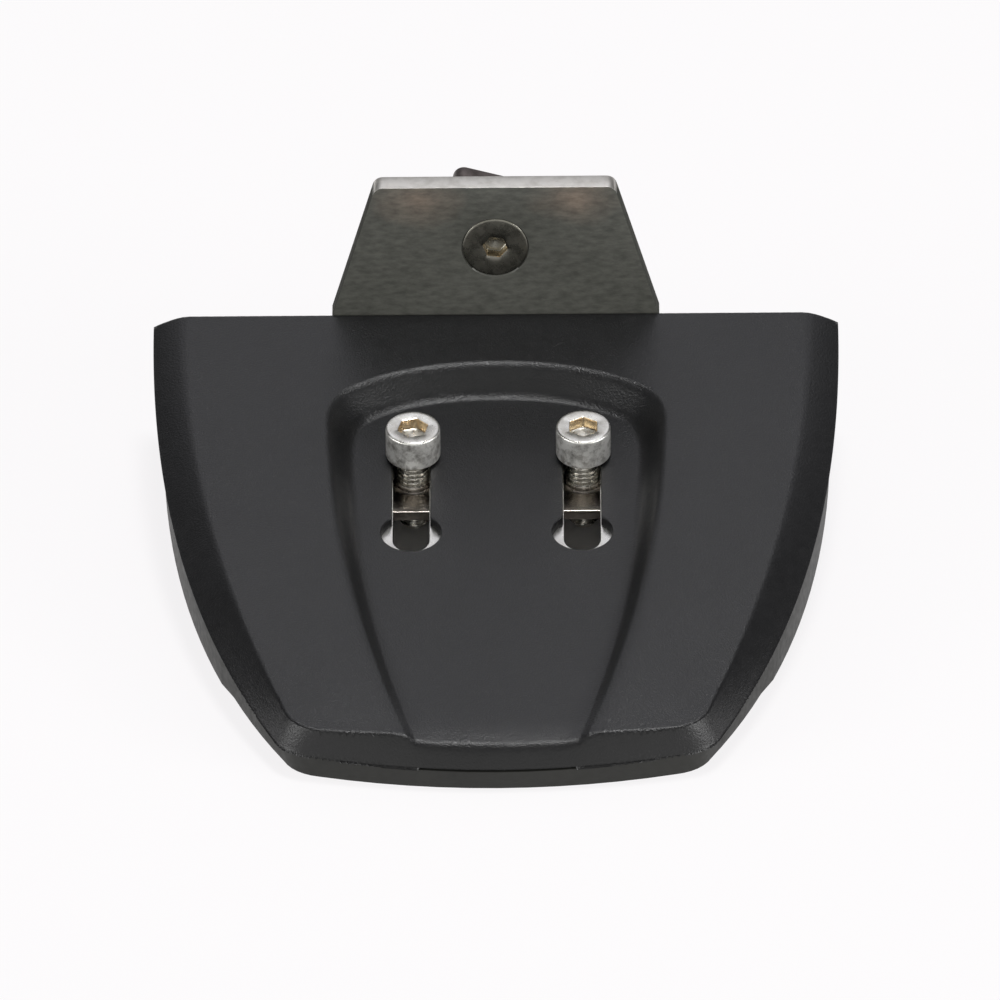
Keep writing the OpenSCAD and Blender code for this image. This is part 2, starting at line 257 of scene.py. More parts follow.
def new_object(name, verts, faces, material, smooth=True):
    mesh = bpy.data.meshes.new(name)
    mesh.from_pydata([tuple(v) for v in verts], [], [tuple(f) for f in faces])
    mesh.update()
    if smooth:
        mesh.shade_smooth()
    obj = bpy.data.objects.new(name, mesh)
    bpy.context.scene.collection.objects.link(obj)
    mesh.materials.append(material)
    return obj


def outward(obj, sharp):
    """Makes all faces of a closed mesh face outwards, with its edges sharp from an angle on."""
    bm = bmesh.new()
    bm.from_mesh(obj.data)
    bmesh.ops.recalc_face_normals(bm, faces=bm.faces)
    bm.to_mesh(obj.data)
    bm.free()
    obj.data.set_sharp_from_angle(angle=math.radians(sharp))


ROUND_SEGMENTS = 3
ROUND_FROM = math.radians(25)
FLAT_WITHIN = math.radians(0.6)


def dressed(node, name, material, width):
    """A copy of a CAD node's mesh with its sharp edges rounded by a width in millimetres."""
    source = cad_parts[node]
    bm = bmesh.new()
    bm.from_mesh(source.data)
    bm.transform(source.matrix_world)
    bmesh.ops.remove_doubles(bm, verts=bm.verts, dist=1e-7)
    bmesh.ops.dissolve_limit(bm, angle_limit=FLAT_WITHIN, verts=bm.verts, edges=bm.edges)
    sharp = [
        e for e in bm.edges if len(e.link_faces) == 2 and e.calc_face_angle(0) > ROUND_FROM
    ]
    bmesh.ops.bevel(
        bm,
        geom=sharp,
        offset=width * MM,
        segments=ROUND_SEGMENTS,
        profile=0.5,
        affect="EDGES",
        clamp_overlap=True,
    )
    bmesh.ops.triangulate(bm, faces=bm.faces)
    mesh = bpy.data.meshes.new(name)
    bm.to_mesh(mesh)
    bm.free()
    mesh.shade_smooth()
    mesh.set_sharp_from_angle(angle=math.radians(32))
    mesh.materials.clear()
    mesh.materials.append(material)
    obj = bpy.data.objects.new(name, mesh)
    bpy.context.scene.collection.objects.link(obj)
    return obj


def place(obj, origin, axis, spin=0.0):
    """Turns a mesh that stands on its own Z axis to an axis at an origin in metres."""
    rot = Vector((0, 0, 1)).rotation_difference(Vector(axis)).to_matrix().to_4x4()
    turn_own = Matrix.Rotation(spin, 4, "Z")
    obj.data.transform(Matrix.Translation(Vector(origin)) @ rot @ turn_own)
    obj.data.update()


# Materials


class Nodes:
    """A small helper that adds shader nodes and links them."""

    def __init__(self, name):
        self.mat = bpy.data.materials.new(name)
        self.mat.use_nodes = True
        self.tree = self.mat.node_tree
        self.bsdf = self.tree.nodes["Principled BSDF"]
        self.coord = self.tree.nodes.new("ShaderNodeTexCoord")

    def add(self, kind, **values):
        node = self.tree.nodes.new(kind)
        for key, value in values.items():
            if hasattr(node, key):
                setattr(node, key, value)
            else:
                node.inputs[key.replace("_", " ")].default_value = value
        return node

    def link(self, a, b):
        self.tree.links.new(a, b)

    def noise(self, scale, detail=3.0, stretch=None, rough=0.5):
        node = self.add("ShaderNodeTexNoise", Scale=scale, Detail=detail, Roughness=rough)
        source = self.coord.outputs["Object"]
        if stretch:
            mapping = self.add("ShaderNodeMapping")
            mapping.inputs["Scale"].default_value = stretch
            self.link(source, mapping.inputs["Vector"])
            source = mapping.outputs["Vector"]
        self.link(source, node.inputs["Vector"])
        return node.outputs["Fac"]

    def ramp(self, fac, stops):
        node = self.add("ShaderNodeValToRGB")
        el = node.color_ramp.elements
        while len(el) < len(stops):
            el.new(0.5)
        for e, (pos, colour) in zip(el, stops):
            e.position = pos
            if not isinstance(colour, tuple):
                colour = (colour, colour, colour)
            e.color = (*colour, 1)
        self.link(fac, node.inputs["Fac"])
        return node.outputs["Color"]

    def math(self, op, a, b=None):
        node = self.add("ShaderNodeMath", operation=op)
        for i, v in enumerate((a, b)):
            if v is None:
                continue
            if isinstance(v, (int, float)):
                node.inputs[i].default_value = v
            else:
                self.link(v, node.inputs[i])
        return node.outputs["Value"]

    def bump(self, heights):
        """Chains bumps given as (height, distance in mm, strength)."""
        last = None
        for height, distance, strength in heights:
            node = self.add("ShaderNodeBump", Strength=strength, Distance=distance * MM)
            self.link(height, node.inputs["Height"])
            if last:
                self.link(last, node.inputs["Normal"])
            last = node.outputs["Normal"]
        self.link(last, self.bsdf.inputs["Normal"])

    def put(self, socket, value):
        if isinstance(value, (int, float)):
            self.bsdf.inputs[socket].default_value = value
        else:
            self.link(value, self.bsdf.inputs[socket])


def grained_plastic():
    n = Nodes("cover_plastic")
    tone = n.noise(60, 4)
    dark, light = (0.0072, 0.0072, 0.0078), (0.009, 0.009, 0.0097)
    n.put("Base Color", n.ramp(tone, [(0.3, dark), (0.7, light)]))
    grain = n.noise(2500, 2.0, rough=0.7)
    coarse = n.noise(1200, 2.0)
    patch = n.noise(500, 2.0)
    n.put("Roughness", n.ramp(patch, [(0.3, 0.3), (0.7, 0.38)]))
    n.put("Specular IOR Level", 0.42)
    n.bump([(grain, 0.1, 1.0), (coarse, 0.02, 0.5)])
    return n.mat


def rubber():
    n = Nodes("pad_rubber")
    tone = n.noise(90, 4)
    dark, light = (0.0125, 0.0126, 0.0108), (0.018, 0.018, 0.0155)
    n.put("Base Color", n.ramp(tone, [(0.3, dark), (0.7, light)]))
    n.put("Roughness", n.ramp(n.noise(700, 2), [(0.3, 0.5), (0.7, 0.62)]))
    n.put("Specular IOR Level", 0.4)
    n.bump([(n.noise(2600, 2), 0.03, 0.6)])
    return n.mat


# The two heat marks under the upright's top corners, in millimetres
HEAT_X, HEAT_RISE, HEAT_REACH = 14.5, 24.8, 10


def coated_steel():
    """The bracket's dark finish: streaked, mottled, and browned under its top corners."""
    n = Nodes("bracket_steel")
    streak = n.noise(3200, 4, stretch=(0.14, 1, 1), rough=0.7)
    mottle = n.noise(1100, 4, stretch=(0.4, 1, 1), rough=0.65)
    lay = n.add("ShaderNodeSeparateXYZ")
    n.link(n.coord.outputs["Object"], lay.inputs["Vector"])
    x = n.math("SUBTRACT", n.math("ABSOLUTE", lay.outputs["X"]), HEAT_X * MM)
    z = n.math("MULTIPLY", n.math("SUBTRACT", lay.outputs["Z"], (EDGE_Z + HEAT_RISE) * MM), 1.5)
    far = n.math("SQRT", n.math("ADD", n.math("MULTIPLY", x, x), n.math("MULTIPLY", z, z)))
    near = n.math("MULTIPLY", far, 1 / (HEAT_REACH * MM))
    uneven = n.math("MULTIPLY", n.math("SUBTRACT", n.noise(160, 4), 0.5), 0.9)
    cool = n.math("ADD", near, uneven)
    brown, between, olive = (0.18, 0.143, 0.113), (0.124, 0.109, 0.09), (0.086, 0.087, 0.076)
    glow = n.ramp(cool, [(0.0, brown), (0.45, between), (0.95, olive)])
    dark = n.ramp(mottle, [(0.3, 0.66), (0.68, 1.22)])
    tint = n.add("ShaderNodeMix", data_type="RGBA", blend_type="MULTIPLY")
    tint.inputs["Factor"].default_value = 1.0
    n.link(glow, tint.inputs[6])
    n.link(dark, tint.inputs[7])
    n.put("Base Color", tint.outputs[2])
    n.put("Metallic", 0.2)
    n.put("Roughness", n.ramp(streak, [(0.3, 0.34), (0.7, 0.54)]))
    n.bump([(streak, 0.02, 0.6), (mottle, 0.02, 0.5)])
    return n.mat


def shaded_edge_steel():
    """Painted shade on the upright's slanted edges: a darker, dull copy of its dark finish, without
    the sheen.
    """
    n = Nodes("bracket_edge_painted_shade")
    dark, light = (0.03, 0.03, 0.026), (0.05, 0.05, 0.043)
    n.put("Base Color", n.ramp(n.noise(500, 4), [(0.3, dark), (0.7, light)]))
    n.put("Roughness", 0.8)
    n.put("Specular IOR Level", 0.08)
    n.bump([(n.noise(900, 3), 0.02, 0.5)])
    return n.mat


def turned_steel(name, light, dark):
    """The side of a screw head: fine turning marks that spread the light up and down."""
    n = Nodes(name)
    mottle = n.noise(520, 5, rough=0.65)
    n.put("Base Color", n.ramp(mottle, [(0.34, dark), (0.56, light)]))
    n.put("Metallic", 0.72)
    n.put("Roughness", n.ramp(n.noise(700, 4), [(0.3, 0.3), (0.7, 0.42)]))
    n.put("Anisotropic", 0.85)
    along = n.add("ShaderNodeTangent", direction_type="RADIAL", axis="Z")
    n.link(along.outputs["Tangent"], n.bsdf.inputs["Tangent"])
    n.bump([(n.noise(1500, 3), 0.012, 0.4)])
    return n.mat


def cut_steel(name, light, dark, rough_low, rough_high, bump=0.3):
    """Bare steel: mottled by handling, with fine marks in all directions. On the plate's lips the
    mottle is partly a painted reflection.
    """
    n = Nodes(name)
    mottle = n.noise(420, 5, rough=0.6)
    n.put("Base Color", n.ramp(mottle, [(0.32, dark), (0.6, light)]))
    n.put("Metallic", 1.0)
    n.put("Roughness", n.ramp(n.noise(800, 4), [(0.3, rough_low), (0.72, rough_high)]))
    n.bump([(n.noise(1500, 3), 0.012, bump), (mottle, 0.02, bump)])
    return n.mat


# The sheet rises to a lip at this radius round each screw, and falls off over this distance
LIP_R, LIP_FALL = 3.3, 0.62


def plate_steel():
    """The slide plate: a satin sheet whose face dishes up to a lip round each screw."""
    n = Nodes("plate_steel")
    dark, light = (0.36, 0.32, 0.29), (0.6, 0.56, 0.52)
    n.put("Base Color", n.ramp(n.noise(260, 4), [(0.3, dark), (0.7, light)]))
    n.put("Metallic", 1.0)
    n.put("Roughness", n.ramp(n.noise(900, 3), [(0.3, 0.16), (0.7, 0.26)]))
    lay = n.add("ShaderNodeMapping")
    lay.inputs["Location"].default_value = tuple(-tip((CLAMP_SHIFT, 0, -8)))
    n.link(n.coord.outputs["Object"], lay.inputs["Vector"])
    axes = n.add("ShaderNodeSeparateXYZ")
    n.link(lay.outputs["Vector"], axes.inputs["Vector"])
    x = n.math("SUBTRACT", n.math("ABSOLUTE", axes.outputs["X"]), SLOT_X * MM)
    y = axes.outputs["Y"]
    r = n.math("SQRT", n.math("ADD", n.math("MULTIPLY", x, x), n.math("MULTIPLY", y, y)))
    fall = n.math("MULTIPLY", n.math("SUBTRACT", r, LIP_R * MM), -1 / (LIP_FALL * MM))
    lip = n.math("MINIMUM", n.math("EXPONENT", fall), 1.0)
    n.bump([(lip, 1.25, 1.0), (n.noise(1300, 2), 0.006, 0.4)])
    return n.mat


COVER_MAT = grained_plastic()
RUBBER_MAT = rubber()
BRACKET_MAT = coated_steel()
EDGE_MAT = cut_steel("sheared_edge", (0.72, 0.7, 0.66), (0.56, 0.54, 0.5), 0.36, 0.5)
LEG_MAT = cut_steel("leg_steel", (0.8, 0.79, 0.76), (0.66, 0.65, 0.62), 0.24, 0.36, 0.12)
SHADED_EDGE_MAT = shaded_edge_steel()
SCREW_MAT = cut_steel("screw_steel", (0.86, 0.85, 0.81), (0.6, 0.58, 0.53), 0.22, 0.38)
SIDE_MAT = turned_steel("screw_side", (0.97, 0.96, 0.93), (0.34, 0.325, 0.3))
# The cap screws' threads take a lighter copy of the screw steel: painted highlight on their rings
LIT_THREAD_MAT = cut_steel("screw_thread_painted_highlight", (0.97, 0.95, 0.9), (0.75, 0.72, 0.66), 0.2, 0.3, 0.15)
# The sockets' gold-brown colour is a painted reflection
SOCKET_REFLECTION_MAT = cut_steel("screw_socket_painted_reflection", (0.84, 0.73, 0.55), (0.56, 0.46, 0.34), 0.2, 0.34)
BOLT_MAT = cut_steel("bolt_steel", (0.24, 0.232, 0.2), (0.16, 0.155, 0.132), 0.22, 0.34, 0.15)
PLATE_MAT = plate_steel()
# The lips' mottle is partly burrs and partly a painted reflection of the thread
LIP_BURR_AND_REFLECTION_MAT = cut_steel("lip_burrs_and_painted_reflection", (0.85, 0.8, 0.74), (0.22, 0.19, 0.16), 0.2, 0.4, 1.0)
# The plate's front face: a dark copy of its steel, painted shade
PLATE_EDGE_SHADE_MAT = cut_steel("plate_edge_painted_shade", (0.13, 0.115, 0.1), (0.08, 0.07, 0.06), 0.35, 0.5)
NUT_MAT = cut_steel("nut_steel", (0.17, 0.145, 0.138), (0.09, 0.075, 0.072), 0.42, 0.58)


# The cover


def thinned(points, gap):
    """Keeps points in order and drops those closer than the gap to one already kept."""
    grid = {}
    kept = []
    for p in points:
        key = (int(p[0] // gap), int(p[1] // gap))
        near = False
        for i in (-1, 0, 1):
            for j in (-1, 0, 1):
                for q in grid.get((key[0] + i, key[1] + j), ()):
                    if (p[0] - q[0]) ** 2 + (p[1] - q[1]) ** 2 < gap * gap:
                        near = True
        if not near:
            kept.append(p)
            grid.setdefault(key, []).append(p)
    return np.array(kept)


def keyhole_loop(x, grow):
    """Closed loop of one keyhole, counter-clockwise, grown outwards by some distance."""
    slot_r, hole_r = COVER_SLOT_R + grow, KEYHOLE_R + grow
    meet = math.asin(min(slot_r / hole_r, 0.999))
    loop = []
    for a in np.linspace(0, math.pi, 25):
        loop.append((x + slot_r * math.cos(a), slot_r * math.sin(a)))
    down = np.linspace(0, -SLOT_RUN + hole_r * math.cos(meet), 16)[1:-1]
    loop += [(x - slot_r, v) for v in down]
    for a in np.linspace(math.pi / 2 + meet, 2 * math.pi + math.pi / 2 - meet, 61):
        loop.append((x + hole_r * math.cos(a), -SLOT_RUN + hole_r * math.sin(a)))
    loop += [(x + slot_r, v) for v in down[::-1]]
    return np.array(loop)


# The sheet's underside stands this far off the steel leg, and no wall is thinner than this
UNDER_GAP = 0.03
THINNEST = 0.25
RIM_LIFT = 0.55
KEYHOLE_ROUND = 0.3
# Behind this place the cover leans back to stand plumb with the upright
LEAN_FROM = 26


def cover_object():
    """The whole moulding: one skin cut by the two keyholes, its underside and its walls."""
    skirt, face = skirt_outline(), face_outline()
    shares = [0.04, 0.1, 0.2, 0.32, 0.45, 0.58, 0.7, 0.8, 0.87, 0.92, 0.96, 1.0]
    rings = [skirt * (1 - s) + face * s for s in shares]
    rings += [face_outline(d) for d in (0.2, 0.45, 0.75, 1.1, 1.6, 2.4, 3.6)]
    bands = [recess_outline(s) for s in np.linspace(-0.5, 1.45, 34)]
    back = []
    for d in (0.12, 0.3, 0.55, 1.0):
        xs = np.linspace(-63, 63, 110)
        back.append(np.column_stack([xs, np.full_like(xs, BACK_Y - d)]))
    loops = [keyhole_loop(side * SLOT_X, KEYHOLE_ROUND) for side in (-1, 1)]
    rims = [keyhole_loop(side * SLOT_X, g) for side in (-1, 1) for g in (0.5, 0.9, 1.6)]
    gx, gy = np.meshgrid(np.arange(-62, 62.1, 2.2), np.arange(-84, 36, 2.2))
    grid = np.column_stack([gx.ravel() + 0.55 * (gy.ravel() / 2.2 % 2), gy.ravel()])
    inner = np.vstack(rims + rings + back + bands + [grid])
    back_x = np.linspace(-1, 1, 60)[1:-1] * SKIRT_HALVES[0]
    border = np.vstack([skirt, np.column_stack([back_x, np.full(len(back_x), BACK_Y)])])
    keep = signed_distance(inner, border) > 0.1
    for loop in loops:
        keep &= signed_distance(inner, loop) < -0.12
    inner = thinned(inner[keep], 0.24)
    points = np.vstack([border] + loops + [inner])
    edges = []
    start = 0
    for closed in [border] + loops:
        n = len(closed)
        edges += [(start + i, start + (i + 1) % n) for i in range(n)]
        start += n
    verts, _, tris, originals, _, _ = delaunay_2d_cdt(
        [Vector(p) for p in points], edges, [], 1, 1e-6
    )
    xy = np.array([(v.x, v.y) for v in verts])
    faces = np.array(tris)
    middle = xy[faces].mean(1)
    drop = np.zeros(len(faces), bool)
    for loop in loops:
        drop |= signed_distance(middle, loop) > 0
    faces = faces[~drop]
    # The first points are the border and the loops, in their own order
    where = {}
    for new, old in enumerate(originals):
        for o in old:
            where[o] = new
    top_z = cover_height(xy)
    near_back = np.clip((xy[:, 1] - (BACK_Y - 0.6)) / 0.6, 0, 1)
    top_z = top_z - 0.3 * near_back**2
    lean = np.clip((xy[:, 1] - LEAN_FROM) / (BACK_Y - LEAN_FROM), 0, 1)
    count = len(xy)

    def leaned(z):
        y = xy[:, 1] + (z - FACE_BACK) * math.tan(WEDGE) * lean
        return np.column_stack([xy[:, 0], y, z])

    top = leaned(top_z)
    lowest = np.minimum(skirt_z(xy[:, 1]), top_z - THINNEST)
    under_z = np.maximum(top_z - FLOOR_WALL + UNDER_GAP, lowest)
    flat = signed_distance(xy, recess_outline(0.8)) > 0
    under_z = np.where(flat, np.minimum(-FLOOR_WALL + UNDER_GAP, top_z - THINNEST), under_z)
    rim = [where[i] for i in range(len(border))]
    under_z[rim] = skirt_z(xy[rim, 1]) + RIM_LIFT
    for i in rim:
        if xy[i, 1] > BACK_Y - 1e-4:
            under_z[i] = skirt_z(BACK_Y)
            if abs(xy[i, 0]) < 57:
                under_z[i] = max(under_z[i], top_z[i] - 2.6)
    under = leaned(under_z)
    # The lower rim tucks in, so that a dark seam shows over the pad
    tucked = [i for i in rim if xy[i, 1] < BACK_Y - 1e-4]
    under[tucked, 0] *= 0.99
    under[tucked, 1] = (under[tucked, 1] + 20) * 0.99 - 20
    all_points = np.vstack([top, under])
    all_faces = [tuple(f) for f in faces]
    all_faces += [tuple(int(i) + count for i in f[::-1]) for f in faces]

    for a, b in zip(rim, rim[1:] + rim[:1]):
        all_faces.append((a, b, b + count, a + count))
    # Each keyhole has a small round at its edge and a straight wall
    extra = []
    base = 2 * count
    start = len(border)
    for side, loop in zip((-1, 1), loops):
        n = len(loop)
        upper = [where[start + i] for i in range(n)]
        start += n
        levels = [(0.16, -0.03), (0.05, -0.12), (0.0, -0.3), (0.0, -FLOOR_WALL + 0.05)]
        previous = upper
        for grow, z in levels:
            outline_xy = keyhole_loop(side * SLOT_X, grow)
            extra.append(np.column_stack([outline_xy, np.full(n, z)]))
            current = list(range(base, base + n))
            base += n
            for i in range(n):
                j = (i + 1) % n
                all_faces.append((previous[i], previous[j], current[j], current[i]))
            previous = current
        lower = [i + count for i in upper]
        for i in range(n):
            j = (i + 1) % n
            all_faces.append((previous[i], previous[j], lower[j], lower[i]))
    all_points = np.vstack([all_points] + extra)
    obj = new_object("cover_shell", tip(all_points), all_faces, COVER_MAT)
    outward(obj, 50)
    # The outer skin is shaded by the true slope of its surface
    e = 0.06
    slope_x = (cover_height(xy + [e, 0]) - cover_height(xy - [e, 0])) / (2 * e)
    slope_y = (cover_height(xy + [0, e]) - cover_height(xy - [0, e])) / (2 * e)
    normals = np.column_stack([-slope_x, -slope_y, np.ones(count)])
    normals /= np.linalg.norm(normals, axis=1)[:, None]
    c, s = math.cos(WEDGE), math.sin(WEDGE)
    normals = np.column_stack(
        [normals[:, 0], normals[:, 1] * c - normals[:, 2] * s, normals[:, 1] * s + normals[:, 2] * c]
    )
    back = xy[:, 1] > BACK_Y - 0.7
    loops_out = np.zeros((len(obj.data.loops), 3))
    for poly in obj.data.polygons[: len(faces)]:
        for k in poly.loop_indices:
            v = obj.data.loops[k].vertex_index
            if not back[v]:
                loops_out[k] = normals[v]
    obj.data.normals_split_custom_set(loops_out.tolist())
    return obj


# Screws


def skin(rings, close_first=True, close_last=True):
    """Joins rings of equal count, each closed, into a surface with capped ends."""
    n = len(rings[0])
    verts = np.vstack(rings)
    faces = []
    for k in range(len(rings) - 1):
        for i in range(n):
            j = (i + 1) % n
            faces.append((k * n + i, k * n + j, (k + 1) * n + j, (k + 1) * n + i))
    if close_first:
        verts = np.vstack([verts, rings[0].mean(0)])
        mid = len(verts) - 1
        faces += [(mid, (i + 1) % n, i) for i in range(n)]
    if close_last:
        verts = np.vstack([verts, rings[-1].mean(0)])
        mid = len(verts) - 1
        o = (len(rings) - 1) * n
        faces += [(mid, o + i, o + (i + 1) % n) for i in range(n)]
    return verts, faces


def ring(radius, z, n):
    a = np.arange(n) * 2 * math.pi / n
    r = radius(a) if callable(radius) else np.full(n, radius)
    return np.column_stack([r * np.cos(a), r * np.sin(a), np.full(n, z)])


def hexagon(across_flats, grow=0.0):
    """Radius of a hexagon with slightly rounded corners, by angle."""

    def radius(a):
        local = (a + math.pi / 6) % (math.pi / 3) - math.pi / 6
        r = (across_flats / 2 + grow) / np.cos(local)
        return np.minimum(r, (across_flats / 2 + grow) * 1.13)

    return radius


def thread(z_from, z_to, major=3.0, pitch=1.0, depth=0.62, n=60):
    """Rings of a helical thread from one height down to another, fading out at both ends."""
    a = np.arange(n) * 2 * math.pi / n
    rings = []
    steps = max(2, int(abs(z_to - z_from) / pitch * 14))
    for z in np.linspace(z_from, z_to, steps + 1):
        phase = (z / pitch - a / (2 * math.pi)) % 1
        wave = np.abs(2 * phase - 1)
        cut = np.clip((wave - 0.12) / 0.76, 0, 1)
        fade = min(1, abs(z - z_to) / (0.9 * pitch) + 0.25)
        r = major - depth * cut - (1 - fade) * 0.5 * (1 - cut)
        rings.append(np.column_stack([r * np.cos(a), r * np.sin(a), np.full(n, z)]))
    return rings


def socket_rings(across, top, depth, n):
    """Rings of a hexagon socket from its rim down to its drilled bottom."""
    return [
        ring(hexagon(across, 0.22), top, n),
        ring(hexagon(across, 0.06), top - 0.07, n),
        ring(hexagon(across, 0.0), top - 0.22, n),
        ring(hexagon(across, -0.01), top - depth, n),
        ring(hexagon(across, -0.12), top - depth - 0.08, n),
        ring(across / 2 - 0.7, top - depth - 0.12, n),
        ring(0.3, top - depth - 0.4, n),
    ]


def threaded_shank(name, first_rings, z_from, material):
    """A shank under its head: plain rings first, then the thread, then a chamfered tip."""
    rings = first_rings + thread(z_from, -15.3) + [ring(2.3, -15.6, 60), ring(2.1, -16.0, 60)]
    verts, faces = skin(rings)
    shank = new_object(name, verts * MM, faces, material)
    outward(shank, 40)
    return shank


def cap_screw(name, x, spin):
    """A socket cap screw with its head's underside at Z 0, turned to its own socket angle."""
    n = 180
    head_r, head_h = 5.04, 6.05
    socket, socket_depth = 5.0, 2.1

    def knurled(r, deep):
        return lambda a: r - deep * (0.5 + 0.5 * np.cos(60 * a))

    rings = [
        ring(3.0, 0.0, n),
        ring(head_r - 0.16, 0.0, n),
        ring(head_r - 0.04, 0.05, n),
        ring(head_r, 0.18, n),
        ring(head_r, 3.8, n),
        ring(knurled(head_r, 0.02), 4.3, n),
        ring(knurled(head_r, 0.06), 4.9, n),
        ring(knurled(head_r, 0.09), head_h - 0.42, n),
        ring(knurled(head_r - 0.05, 0.1), head_h - 0.2, n),
        ring(knurled(head_r - 0.18, 0.09), head_h - 0.06, n),
        ring(knurled(head_r - 0.36, 0.03), head_h, n),
        ring(head_r - 0.7, head_h, n),
    ]
    head_count = len(rings)
    rings += socket_rings(socket, head_h, socket_depth, n)
    verts, faces = skin(rings)
    head = new_object(name + "_head", verts * MM, faces, SCREW_MAT)
    head.data.materials.append(SOCKET_REFLECTION_MAT)
    head.data.materials.append(SIDE_MAT)
    # The socket's walls take the painted reflection, and the head's side the turned steel
    first = (head_count + 1) * n
    for poly in head.data.polygons:
        level = min(poly.vertices)
        if first <= level < first + 3 * n:
            poly.material_index = 1
        if 2 * n <= level < 8 * n:
            poly.material_index = 2
    outward(head, 34)
    neck = [ring(3.0, 0.2, 60), ring(2.95, -0.2, 60)]
    shank = threaded_shank(name + "_shank", neck, -0.3, LIT_THREAD_MAT)
    origin = tip((x + CLAMP_SHIFT, 0, CAP_LIFT))
    axis = turn((0, 0, 1))
    for obj in (head, shank):
        place(obj, origin, axis, spin)
    return head, shank


def plate_lip(side):
    """The raised, rough lip round a tapped hole of the slide plate, inside the leg's slot. Its mottle
    paints burrs and, in part, a reflection of the thread.
    """
    n = 72
    rings = [
        ring(2.9, -0.3, n),
        ring(LIP_R, -0.3, n),
        ring(LIP_R, 0.75, n),
        ring(3.22, 0.95, n),
        ring(3.05, 1.02, n),
        ring(2.9, 0.9, n),
    ]
    rings.append(rings[0])
    verts, faces = skin(rings, close_first=False, close_last=False)
    name = "plate_lip_right" if side > 0 else "plate_lip_left"
    obj = new_object(name, verts * MM, faces, LIP_BURR_AND_REFLECTION_MAT)
    outward(obj, 50)
    top = -FLOOR_WALL - SHEET
    place(obj, tip((side * SLOT_X + CLAMP_SHIFT, 0, top)), turn((0, 0, 1)))
    return obj


def track_bolt():
    """The countersunk bolt, its head's face just inside the upright's front face."""
    n = 120
    head_r = 6.05
    sunk = 0.15
    rings = [
        ring(3.0, -3.1, n),
        ring(head_r - 0.1, -0.12, n),
        ring(head_r, -0.02, n),
        ring(head_r - 0.1, 0.06, n),
        ring(head_r - 0.35, 0.1, n),
        ring(3.2, 0.02, n),
    ]
    rings += socket_rings(4.0, 0.0, 2.2, n)
    verts, faces = skin(rings)
    head = new_object("bolt_head", verts * MM, faces, BOLT_MAT)
    head.data.materials.append(SOCKET_REFLECTION_MAT)
    # The socket's walls take the painted reflection
    for poly in head.data.polygons:
        if 7 * n <= min(poly.vertices) < 9 * n:
            poly.material_index = 1
    outward(head, 30)
    shank = threaded_shank("bolt_shank", [ring(2.95, -2.7, 60)], -3.0, BOLT_MAT)
    origin = (0, (EDGE_Y + sunk) * MM, (EDGE_Z + TRACK_RISE) * MM)
    for obj in (head, shank):
        place(obj, origin, (0, -1, 0), math.radians(20))
    return head, shank


# Pieces


def take(pieces, body, slot, *nodes):
    """Each piece rides on a body, and the CAD nodes are hidden. The slot is not used."""
    for i, piece in enumerate(pieces):
        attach(piece, body)
    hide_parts(*nodes)


cover = cover_object()
take([cover], "root", "cover_plastic", "cover")

pad = dressed("base_pad", "rubber_pad", RUBBER_MAT, 0.5)
take([pad], "root", "pad_rubber", "base_pad")

bracket = dressed("mounting_bracket", "folded_bracket", BRACKET_MAT, 0.35)
for extra_mat in (EDGE_MAT, LEG_MAT, SHADED_EDGE_MAT):
    bracket.data.materials.append(extra_mat)
TOP_EDGE, LEG, SLANTED_EDGE = 1, 2, 3
for poly in bracket.data.polygons:
    rise = poly.center.z / MM - EDGE_Z
    if rise > 26.0 and poly.normal.z > 0.5:
        poly.material_index = TOP_EDGE
    # The slanted edges take the painted shade
    if 1 < rise < 25.5 and abs(poly.normal.x) > 0.5:
        poly.material_index = SLANTED_EDGE
    if rise < -8 or poly.center.y / MM < EDGE_Y - 4:
        poly.material_index = LEG
take([bracket], "root", "bracket_steel", "mounting_bracket")

nut = dressed("track_nut", "nut_plate", NUT_MAT, 0.4)
take([nut], "nut", "nut_steel", "track_nut")

plate = dressed("clamp_plate", "slide_plate", PLATE_MAT, 0.2)
plate.data.materials.append(PLATE_EDGE_SHADE_MAT)
# The plate's front face takes the painted shade
front = -turn((0, 1, 0))
for poly in plate.data.polygons:
    if poly.normal.dot(front) > 0.9:
        poly.material_index = 1
take([plate, *(plate_lip(side) for side in (-1, 1))], "clamp", "plate_steel", "clamp_plate")

take(track_bolt(), "bolt", "bolt_steel", "track_bolt")
take(cap_screw("left_cap", -SLOT_X, math.radians(45)), "left_screw", "screw_steel", "left_clamp_screw")
take(cap_screw("right_cap", SLOT_X, 0.0), "right_screw", "screw_steel", "right_clamp_screw")


# Floor, light and camera


# The share of the floor that is even white, and the radii between which it fades in
EVEN_WHITE = 0.86
UNDER_PART = (0, 0.05, 0)
FADE_FROM, FADE_TO = 0.04, 0.047


